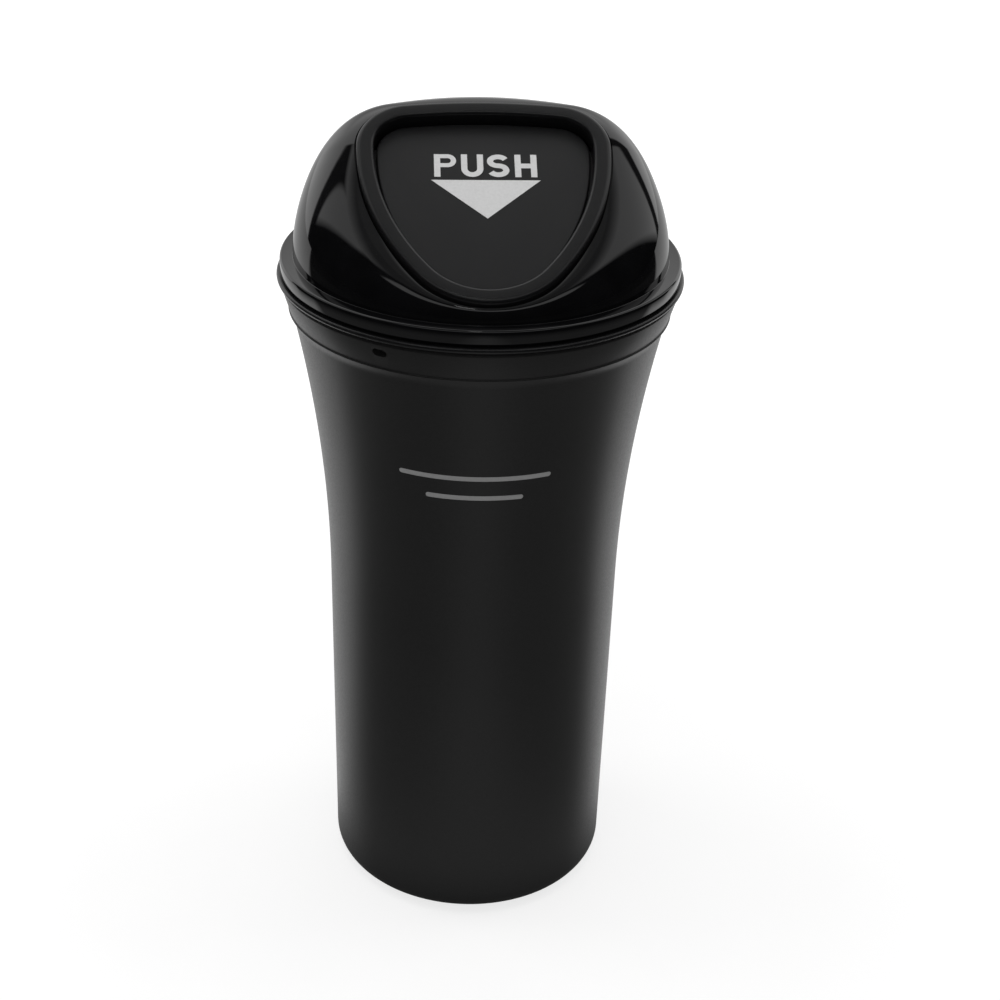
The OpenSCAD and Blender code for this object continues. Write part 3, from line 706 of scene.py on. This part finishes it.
class CARBIN_OT_flap(bpy.types.Operator):
    """Build the push flap with its stop flange, knuckles and ribs"""
    bl_idname = "carbin.flap"
    bl_label = "Push flap"

    EDGE_STEPS = 6
    BACK_EDGE = 0.2 * MM
    PIN_PLAY = 0.08 * MM

    def execute(self, context):
        lid, flap = context.scene.car_bin_lid, context.scene.car_bin_flap
        slant = Slant(lid, flap)
        inner = -flap.flap_gap
        low = flap.flap_edge
        turns = [pi / 2 * i / self.EDGE_STEPS for i in range(self.EDGE_STEPS + 1)]
        plate = [(inner - self.BACK_EDGE, slant.flap_back_h), (inner, slant.flap_back_h + self.BACK_EDGE)]
        plate += [(inner - low + low * cos(a), slant.flap_top_h - low + low * sin(a)) for a in turns]
        bm = bmesh.new()
        add_skin(bm, [slant.ring(w, h) for w, h in plate], closed=False)
        stop_end = slant.hinge_y - flap.stop_short
        stop = [(x, min(y, stop_end)) for x, y in slant.outline(flap.stop_w)]
        stop_place = slant.place(h=slant.flap_back_h + flap.stop_lift)
        add_prism(bm, self.without_doubles(stop), stop_place, flap.stop_t, 0)
        knuckles = bmesh.new()
        y, h, r = slant.hinge_y, slant.hinge_h, flap.boss_r
        profile = arc((y, h), r, pi, 2 * pi, 20) + [
            (y + r, h), (y + r, slant.flap_back_h + LAP), (y - r, slant.flap_back_h + LAP)]
        for sign in (-1, 1):
            middle = sign * (flap.knuckle_x + flap.knuckle_t / 2)
            place = slant.place() @ Matrix.Translation((middle - flap.knuckle_t / 2, 0, 0)) @ UPRIGHT
            add_prism(knuckles, profile, place, flap.knuckle_t, EASE)
            low_y = slant.hinge_y - flap.rib_l
            rib = [(middle - flap.rib_t / 2, low_y), (middle + flap.rib_t / 2, low_y),
                   (middle + flap.rib_t / 2, y - r + LAP), (middle - flap.rib_t / 2, y - r + LAP)]
            add_prism(bm, rib, slant.place(h=slant.flap_back_h - flap.rib_h), flap.rib_h + LAP, EASE)
        add_mesh(bm, bored(knuckles, slant.hinge(), flap.pin_d / 2 + self.PIN_PLAY))
        piece = new_piece("push_flap", shade(bm, "push_flap"))
        # ABS moulded on a finely sparked tool: nearly matt, even grey sheen
        cover(piece, moulded_plastic("sparked_moulded_abs", context.scene.car_bin_colours.flap,
                                     ABS_IOR, 0.42, 0.32, 0.006))
        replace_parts(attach(piece, "flap"), "flap")
        return {"FINISHED"}

    @staticmethod
    def without_doubles(points):
        """The points without those that lie on the same straight cut."""
        cut = max(y for _, y in points)
        on_cut = sorted(x for x, y in points if y > cut - 1e-9)
        rest = [p for p in points if p[1] <= cut - 1e-9]
        rest.sort(key=lambda p: (p[0] > 0, p[1] if p[0] > 0 else -p[1]))
        return [(on_cut[0], cut)] + rest + [(on_cut[-1], cut)]


class CARBIN_OT_hinge(bpy.types.Operator):
    """Finish the hinge pin and wind the torsion spring"""
    bl_idname = "carbin.hinge"
    bl_label = "Pin and spring"

    TURNS = 6
    TURN_STEPS = 28
    WIRE_ROUNDNESS = 3
    SCRATCH_W = 0.05 * MM
    SCRATCH_L = 3 * MM

    def execute(self, context):
        lid, flap = context.scene.car_bin_lid, context.scene.car_bin_flap
        slant = Slant(lid, flap)
        steel = self.drawn_steel(context.scene.car_bin_colours.steel)
        repaint(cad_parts["hinge_pin"], steel)
        r, steps = flap.coil_d / 2, self.TURNS * self.TURN_STEPS
        path = [slant.at(-flap.coil_l / 2, slant.hinge_y + flap.bridge_leg, slant.hinge_h + r)]
        for i in range(steps + 1):
            a = 2 * pi * i / self.TURN_STEPS
            path.append(slant.at(flap.coil_l * (i / steps - 0.5), slant.hinge_y - r * sin(a),
                                 slant.hinge_h + r * cos(a)))
        path.append(slant.at(flap.coil_l / 2, slant.hinge_y - flap.flap_leg, slant.hinge_h + r))
        curve = bpy.data.curves.new("spring_path", "CURVE")
        curve.dimensions, curve.use_fill_caps = "3D", True
        curve.bevel_depth, curve.bevel_resolution = flap.wire_d / 2, self.WIRE_ROUNDNESS
        spline = curve.splines.new("POLY")
        spline.points.add(len(path) - 1)
        for point, p in zip(spline.points, path):
            point.co = (*p, 1)
        wire = new_piece("spring_path", curve)
        swept = bpy.data.meshes.new_from_object(wire.evaluated_get(bpy.context.evaluated_depsgraph_get()))
        bpy.data.objects.remove(wire)
        bm = bmesh.new()
        bm.from_mesh(swept)
        piece = new_piece("flap_torsion_spring", shade(bm, "flap_torsion_spring", 50))
        cover(piece, steel)
        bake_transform(piece)
        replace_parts(piece, "flap_spring")
        return {"FINISHED"}

    def drawn_steel(self, colour):
        """Steel drawn through a die: bright, with fine scratches along its length."""
        material, tree = blank_material("drawn_steel")
        place = node(tree, "ShaderNodeTexCoord").outputs["Object"]
        # Scratches 0.05 mm apart across the rod and 3 mm long
        pulled = node(tree, "ShaderNodeMapping", {
            "Vector": place, "Scale": (self.SCRATCH_W / self.SCRATCH_L, 1.0, 1.0)})
        scratch = node(tree, "ShaderNodeTexNoise", {
            "Vector": pulled, "Scale": 1 / self.SCRATCH_W, "Detail": 2.0})
        tone = node(tree, "ShaderNodeMapRange", (scratch, 0.0, 1.0, 0.8, 1.1))
        gloss = node(tree, "ShaderNodeMapRange", (scratch, 0.0, 1.0, 0.22, 0.38))
        bump = node(tree, "ShaderNodeBump", {"Height": scratch, "Distance": 0.003 * MM})
        surface(tree, colour, tone, gloss, bump, Metallic=1.0)
        return material


class CARBIN_OT_print(bpy.types.Operator):
    """Print the word and arrow on the flap and the stripes on the cup"""
    bl_idname = "carbin.print"
    bl_label = "Prints"

    INK_T = 0.03 * MM
    CAP_H, CAP_W, STROKE = 6.8 * MM, 5.0 * MM, 1.4 * MM
    BAR_H = 1.2 * MM
    BAR_ANGLE = radians(-93.4)
    BARS = ((128.0, 17.7), (122.8, 11.2))       # each bar's height and half length in mm
    LETTERS = (("P", -11.25), ("U", -5.15), ("S", 0.7), ("H", 6.95))    # and where each starts, in mm
    WORD_Y = 8.05
    ARROW = ((0.35, -4.25), (12.65, 7.1), (-12.0, 7.1))
    FLAP_BITE, CUP_BITE = 0.005 * MM, 0.01 * MM     # how far the ink reaches into the plastic
    END_H = 0.01 * MM       # half the height that a bar's round end comes down to
    BAR_STEPS, END_STEPS, BOW_STEPS = 48, 8, 20
    P_BOWL_R = 1.95 * MM
    P_BOWL_SHARE = 0.85     # the bowl's stroke as a share of the stem's
    S_STEPS = 24
    MOTTLE = 0.6 * MM

    def execute(self, context):
        lid, flap = context.scene.car_bin_lid, context.scene.car_bin_flap
        slant = Slant(lid, flap)
        colours = context.scene.car_bin_colours
        # Two-part pad print ink: thin, nearly matt, a touch uneven at its edge
        ink = self.pad_ink("white_pad_print_ink", colours.ink)
        bm = bmesh.new()
        face = slant.place(h=slant.flap_top_h - self.FLAP_BITE)
        add_prism(bm, [(x * MM, y * MM) for x, y in self.ARROW], face, self.INK_T, 0)
        piece = new_piece("print_arrow", shade(bm, "print_arrow"))
        cover(piece, ink)
        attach(piece, "flap")
        bm = bmesh.new()
        for letter, x in self.LETTERS:
            for part in self.letter(letter):
                moved = [(px + x * MM, py + self.WORD_Y * MM) for px, py in part]
                add_prism(bm, moved, face, self.INK_T, 0)
        piece = new_piece("print_word", shade(bm, "print_word"))
        cover(piece, ink)
        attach(piece, "flap")
        # The same ink in grey, as two plain bars on the front of the cup
        bm = bmesh.new()
        for mid_z, half_l in self.BARS:
            self.bar(bm, context.scene.car_bin_cup, mid_z * MM, half_l * MM)
        piece = new_piece("print_bars", shade(bm, "print_bars"))
        cover(piece, self.pad_ink("grey_pad_print_ink", colours.grey_ink))
        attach(piece, "bin")
        return {"FINISHED"}

    def bar(self, bm, cup, mid_z, half_l):
        """Adds one bar with round ends that follows the cup's wall."""
        half_h = self.BAR_H / 2
        end = [-half_l + half_h * (1 - cos(pi / 2 * i / self.END_STEPS)) for i in range(self.END_STEPS)]
        middle = [(half_l - half_h) * (2 * i / self.BAR_STEPS - 1) for i in range(self.BAR_STEPS + 1)]
        along = end + middle + [-s for s in reversed(end)]
        rings = []
        for s in along:
            past = max(abs(s) - (half_l - half_h), 0.0)
            h = max(sqrt(max(half_h ** 2 - past ** 2, 0.0)), self.END_H)
            a = self.BAR_ANGLE + s / cup.wall_r(mid_z)
            low, high = mid_z - h, mid_z + h
            section = [(low, -self.CUP_BITE), (high, -self.CUP_BITE)]
            section += [(z, self.INK_T) for z in (high, mid_z, low)]
            section = [(cup.wall_r(z) + lift, z) for z, lift in section]
            rings.append([(r * cos(a), r * sin(a), z) for r, z in section])
        add_skin(bm, rings, closed=False)

    def letter(self, name):
        """Outlines of one plain bold capital, with its foot at (0, 0)."""
        h, t, w = self.CAP_H, self.STROKE, self.CAP_W
        if name == "H":
            return [[(0, 0), (t, 0), (t, h), (0, h)], [(w - t, 0), (w, 0), (w, h), (w - t, h)],
                    [(t, (h - t) / 2), (w - t, (h - t) / 2), (w - t, (h + t) / 2), (t, (h + t) / 2)]]
        if name == "U":
            r = w / 2
            outer = arc((r, r), r, pi, 2 * pi, self.BOW_STEPS) + [(w, r)]
            inner = arc((r, r), r - t, 2 * pi, pi, self.BOW_STEPS) + [(t, r)]
            return [[(0, h)] + outer + [(w, h), (w - t, h)] + inner + [(t, h)]]
        if name == "P":
            r, thin = self.P_BOWL_R, t * self.P_BOWL_SHARE
            c = (w - r, h - r)
            outer = [(t, h)] + arc(c, r, pi / 2, -pi / 2, self.BOW_STEPS) + [(w - r, h - 2 * r)]
            bowl = [(t, h - 2 * r), (t, h - 2 * r + thin), (w - r, h - 2 * r + thin)]
            inner = arc(c, r - thin, -pi / 2, pi / 2, self.BOW_STEPS) + [(w - r, h - thin), (t, h - thin)]
            return [[(0, 0), (t, 0), (t, h), (0, h)], outer + bowl + inner]
        return [self.ess(w, h, t)]

    def ess(self, w, h, t):
        """The S as one ribbon along two bows."""
        r_top = (h - t) / 4
        low, high = (w / 2, t / 2 + r_top), (w / 2, h - t / 2 - r_top)
        reach = w / 2 - t / 2
        line = [(high[0] + reach * cos(a), high[1] + r_top * sin(a))
                for a in [radians(25 + 245 * i / self.S_STEPS) for i in range(self.S_STEPS + 1)]]
        line += [(low[0] + reach * cos(a), low[1] + r_top * sin(a))
                 for a in [radians(90 - 245 * i / self.S_STEPS) for i in range(1, self.S_STEPS + 1)]]
        left, right = [], []
        for i, p in enumerate(line):
            a, b = Vector(line[max(i - 1, 0)]), Vector(line[min(i + 1, len(line) - 1)])
            side = (b - a).normalized()
            side = Vector((-side.y, side.x)) * t / 2
            left.append((p[0] + side.x, p[1] + side.y))
            right.append((p[0] - side.x, p[1] - side.y))
        return left + right[::-1]

    def pad_ink(self, name, colour):
        """Pad print ink, with a tone that varies over tenths of a millimetre."""
        material, tree = blank_material(name)
        place = node(tree, "ShaderNodeTexCoord").outputs["Object"]
        mottle = node(tree, "ShaderNodeTexNoise", {
            "Vector": place, "Scale": 1 / self.MOTTLE, "Detail": 3.0})
        tone = node(tree, "ShaderNodeMapRange", (mottle, 0.0, 1.0, 0.88, 1.08))
        gloss = node(tree, "ShaderNodeMapRange", (mottle, 0.0, 1.0, 0.45, 0.6))
        bump = node(tree, "ShaderNodeBump", {"Height": mottle, "Distance": 0.004 * MM})
        surface(tree, colour, tone, gloss, bump)
        return material


class CARBIN_OT_studio(bpy.types.Operator):
    """Set up the pale floor, the soft lamps and the camera"""
    bl_idname = "carbin.studio"
    bl_label = "Studio"

    SENSOR_W = 36.0
    FLOOR_R = 4.0
    FLOOR_Z = -0.0002
    DAYLIGHT = 0.31         # plain light of the world on matt surfaces
    BOX_GLOW = 0.8          # the long soft box as the gloss mirrors it
    # Each lamp's name, place, target, side lengths and power setting. The
    # last is a small bare lamp high in front that puts one glint on the gloss
    LAMPS = (
        ("lamp_top", (-0.05, 0.10, 0.95), 0.12, (0.9, 0.7), "top_power"),
        ("lamp_left", (-0.8, 0.25, 0.45), 0.12, (0.5, 0.8), "side_power"),
        ("lamp_right", (0.8, 0.25, 0.45), 0.12, (0.5, 0.8), "side_power"),
        ("lamp_front", (-0.1, -1.3, 0.6), 0.1, (1.2, 0.8), "front_power"),
        ("lamp_glint", (-0.02, -0.17, 0.85), 0.17, (0.05, 0.02), "glint_power"))

    def execute(self, context):
        studio = context.scene.car_bin_studio
        self.camera(context, studio)
        self.world(context)
        self.floor()
        for name, place, aim_z, sides, power in self.LAMPS:
            self.lamp(name, Vector(place), Vector((0, 0, aim_z)), sides, getattr(studio, power))
        context.scene.view_settings.view_transform = "Standard"
        return {"FINISHED"}

    def camera(self, context, studio):
        """Places the camera as the product picture's outline gives it."""
        data = bpy.data.cameras.new("camera")
        data.lens, data.sensor_width = studio.lens, self.SENSOR_W
        data.shift_x, data.shift_y = studio.shift
        camera = new_piece("camera", data)
        e, t = studio.elevation, studio.turn
        back = Vector((-sin(t) * cos(e), -cos(t) * cos(e), sin(e)))
        stand = Matrix.Translation(Vector((0, 0, studio.aim_z)) + back * studio.distance)
        look = (-back).to_track_quat("-Z", "Y").to_matrix().to_4x4()
        camera.matrix_world = stand @ look @ Matrix.Rotation(studio.roll, 4, "Z")
        context.scene.camera = camera

    def world(self, context):
        """White for the camera; for reflections white behind and dark in front."""
        world = bpy.data.worlds.new("studio_world")
        context.scene.world = world
        world.use_nodes = True
        tree = world.node_tree
        tree.nodes.clear()
        place = node(tree, "ShaderNodeTexCoord").outputs["Generated"]
        way = node(tree, "ShaderNodeSeparateXYZ", (place,))
        x, y, z = (way.outputs[axis] for axis in "XYZ")
        aside = node(tree, "ShaderNodeMath", (x,), operation="ABSOLUTE")
        # A pale canopy leans in over the bin from behind
        high = node(tree, "ShaderNodeMath", (z, 0.85, y), operation="MULTIPLY_ADD")
        lean = node(tree, "ShaderNodeMath", (x, 0.07, high), operation="MULTIPLY_ADD")
        canopy = node(tree, "ShaderNodeMapRange", (lean, 0.62, 0.70, 0.0, 0.72))
        # On the left it hangs no further forward than the bin, but for its middle overhead
        right = node(tree, "ShaderNodeMath", (x, 0.0), operation="MAXIMUM")
        edge = node(tree, "ShaderNodeMath", (right, 2.0, y), operation="MULTIPLY_ADD")
        crest = node(tree, "ShaderNodeMapRange", (z, 0.86, 0.93))
        reach = node(tree, "ShaderNodeMath", (crest, edge), operation="ADD")
        hung = node(tree, "ShaderNodeMapRange", (reach, -0.06, 0.04))
        hanging = node(tree, "ShaderNodeMath", (canopy, hung), operation="MULTIPLY")
        # The white backdrop stands behind it, from corner to corner of the
        # table, and is greyer low down in its middle
        apart = node(tree, "ShaderNodeMath", (aside, -0.81, y), operation="MULTIPLY_ADD")
        corner = node(tree, "ShaderNodeMath", (x, -0.09, apart), operation="MULTIPLY_ADD")
        backdrop = node(tree, "ShaderNodeMapRange", (corner, 0.04, 0.08))
        flank = node(tree, "ShaderNodeMapRange", (aside, 0.2, 0.5, 0.35, 1.0))
        upper = node(tree, "ShaderNodeMapRange", (z, 0.25, 0.5, 0.35, 1.0))
        middle = node(tree, "ShaderNodeMath", (flank, upper), operation="MAXIMUM")
        both = node(tree, "ShaderNodeMix", {"Factor": backdrop, "A": hanging, "B": middle})
        # A dark seam parts the two, but for the part overhead
        from_seam = node(tree, "ShaderNodeMath", (corner,), operation="ABSOLUTE")
        off_seam = node(tree, "ShaderNodeMapRange", (from_seam, 0.05, 0.08, 0.03, 1.0))
        overhead = node(tree, "ShaderNodeMapRange", (z, 0.80, 0.86))
        parted = node(tree, "ShaderNodeMath", (off_seam, overhead), operation="MAXIMUM")
        board = node(tree, "ShaderNodeMath", (both, parted), operation="MULTIPLY")
        # Straight overhead it all dims
        dimming = node(tree, "ShaderNodeMapRange", (z, 0.84, 0.95, 1.0, 0.18))
        dimmed = node(tree, "ShaderNodeMath", (board, dimming), operation="MULTIPLY")
        # A long soft box high in front draws the light lines along the lid's edges
        low = node(tree, "ShaderNodeMapRange", (z, 0.78, 0.80))
        top = node(tree, "ShaderNodeMapRange", (z, 0.90, 0.92, 1.0, 0.0))
        front = node(tree, "ShaderNodeMapRange", (y, -0.20, -0.24))
        box = node(tree, "ShaderNodeMath", (low, top), operation="MULTIPLY")
        lit = node(tree, "ShaderNodeMath", (box, front), operation="MULTIPLY")
        seen = node(tree, "ShaderNodeMath", (lit, self.BOX_GLOW, dimmed), operation="MULTIPLY_ADD")
        from_camera, mirrored = ray_kinds(tree)
        soft = node(tree, "ShaderNodeMix", {"Factor": mirrored, "A": self.DAYLIGHT, "B": seen})
        strength = node(tree, "ShaderNodeMix", {"Factor": from_camera, "A": soft, "B": 1.0})
        sky = node(tree, "ShaderNodeBackground", {"Color": (1, 1, 1, 1), "Strength": strength})
        node(tree, "ShaderNodeOutputWorld", {"Surface": sky})

    def floor(self):
        """A wide pale floor: white to the camera but for the bin's soft shadow, partly cast by the lamps
        and partly painted, and seen in the gloss only as a painted reflection.
        """
        bm = bmesh.new()
        bmesh.ops.create_circle(bm, cap_ends=True, segments=96, radius=self.FLOOR_R)
        piece = new_piece("floor", shade(bm, "floor"))
        piece.location.z = self.FLOOR_Z
        # Board with a rolled coat of matt paint: flat and pale, with a faint cloud in it
        material, tree = blank_material("painted_board")
        place = node(tree, "ShaderNodeTexCoord").outputs["Object"]
        fibre = node(tree, "ShaderNodeTexNoise", {"Vector": place, "Scale": 40.0})
        tone = node(tree, "ShaderNodeMapRange", (fibre, 0.0, 1.0, 0.30, 0.32))
        from_camera, mirrored = ray_kinds(tree)
        # In the plastics' gloss its own colour is dark, and an emission that only mirrored rays see is a
        # painted reflection of the lit board in its place. Far off it lies behind the bin only
        shown = node(tree, "ShaderNodeMix", {"Factor": mirrored, "A": tone, "B": 0.02})
        paint_coat = node(tree, "ShaderNodeBsdfDiffuse", {"Color": shown})
        way = node(tree, "ShaderNodeSeparateXYZ", (place,))
        aside = node(tree, "ShaderNodeMath", (way.outputs["X"],), operation="ABSOLUTE")
        away = node(tree, "ShaderNodeVectorMath", (place,), operation="LENGTH")
        apart = node(tree, "ShaderNodeMath", (aside, -0.62, way.outputs["Y"]), operation="MULTIPLY_ADD")
        rear = node(tree, "ShaderNodeMapRange", (apart, -0.02, 0.03, 0.0, 0.6))
        # Close to the bin the painted reflection glows all round, most behind and along the middle in
        # front, and little right at the foot, where painted shade stands for the bin's contact shadow
        middle = node(tree, "ShaderNodeMapRange", (aside, 0.0, 0.09, 0.30, 0.14),
                      interpolation_type="SMOOTHSTEP")
        fan = node(tree, "ShaderNodeMath", (away, -0.27, way.outputs["Y"]), operation="MULTIPLY_ADD")
        flank = node(tree, "ShaderNodeMapRange", (fan, -0.035, 0.005, 0.0, 0.75))
        ring = node(tree, "ShaderNodeMath", (middle, flank), operation="ADD")
        # Painted shade: the painted reflection dims right at the foot
        foot = node(tree, "ShaderNodeMapRange", (away, 0.033, 0.052, 0.2, 1.0))
        close = node(tree, "ShaderNodeMath", (ring, foot), operation="MULTIPLY")
        nearness = node(tree, "ShaderNodeMapRange", (away, 0.36, 0.52, 1.0, 0.0))
        painted_shine = node(tree, "ShaderNodeMix", {"Factor": nearness, "A": rear, "B": close})
        # Painted reflection: the floor emits this for mirrored rays only
        painted_reflection_glow = node(tree, "ShaderNodeMix", {"Factor": mirrored, "A": 0.0, "B": painted_shine})
        # White away from the bin, and a little less round its foot, where a painted shadow adds to the
        # shadow that the lamps cast
        white = node(tree, "ShaderNodeMapRange", (away, 0.10, 0.5, 0.74, 1.0))
        strength = node(tree, "ShaderNodeMix", {"Factor": from_camera, "A": painted_reflection_glow, "B": white})
        light = node(tree, "ShaderNodeEmission", {"Color": (1, 1, 1, 1), "Strength": strength})
        both = node(tree, "ShaderNodeAddShader", (paint_coat, light))
        node(tree, "ShaderNodeOutputMaterial", {"Surface": both})
        cover(piece, material)

    def lamp(self, name, place, aim, sides, power):
        """One lamp. Only the glint is mirrored in the gloss, the soft boxes aren't."""
        data = bpy.data.lights.new(name, "AREA")
        data.shape, data.energy = "RECTANGLE", power
        data.size, data.size_y = sides
        lamp = new_piece(name, data)
        lamp.location = place
        lamp.rotation_mode = "QUATERNION"
        lamp.rotation_quaternion = (aim - place).to_track_quat("-Z", "Y")
        lamp.visible_glossy = name == "lamp_glint"
        lamp.visible_camera = False


class CARBIN_PT_panel(bpy.types.Panel):
    """Lists the steps that dress the bin"""
    bl_idname = "CARBIN_PT_panel"
    bl_label = "Car bin"
    bl_space_type = "VIEW_3D"
    bl_region_type = "UI"
    bl_category = "Car bin"

    def draw(self, context):
        for step in STEPS:
            self.layout.operator(step.bl_idname)
        for group in GROUPS:
            box = self.layout.box()
            settings = getattr(context.scene, group)
            for key in settings.__annotations__:
                box.prop(settings, key)


GROUPS = {"car_bin_cup": CupSizes, "car_bin_lid": LidSizes, "car_bin_flap": FlapSizes,
          "car_bin_colours": BinColours, "car_bin_studio": StudioSettings}
STEPS = (CARBIN_OT_studio, CARBIN_OT_cup, CARBIN_OT_dome, CARBIN_OT_surround,
         CARBIN_OT_flap, CARBIN_OT_hinge, CARBIN_OT_print)


def register():
    for group in GROUPS.values():
        bpy.utils.register_class(group)
    for step in STEPS:
        bpy.utils.register_class(step)
    bpy.utils.register_class(CARBIN_PT_panel)
    for name, group in GROUPS.items():
        setattr(bpy.types.Scene, name, PointerProperty(type=group))


def unregister():
    for name in GROUPS:
        delattr(bpy.types.Scene, name)
    bpy.utils.unregister_class(CARBIN_PT_panel)
    for step in STEPS:
        bpy.utils.unregister_class(step)
    for group in GROUPS.values():
        bpy.utils.unregister_class(group)


def main():
    """Registers the steps and builds everything in order."""
    register()
    for step in (bpy.ops.carbin.studio, bpy.ops.carbin.cup, bpy.ops.carbin.dome, bpy.ops.carbin.surround,
                 bpy.ops.carbin.flap, bpy.ops.carbin.hinge, bpy.ops.carbin.print):
        step()


if __name__ == "__main__":
    main()
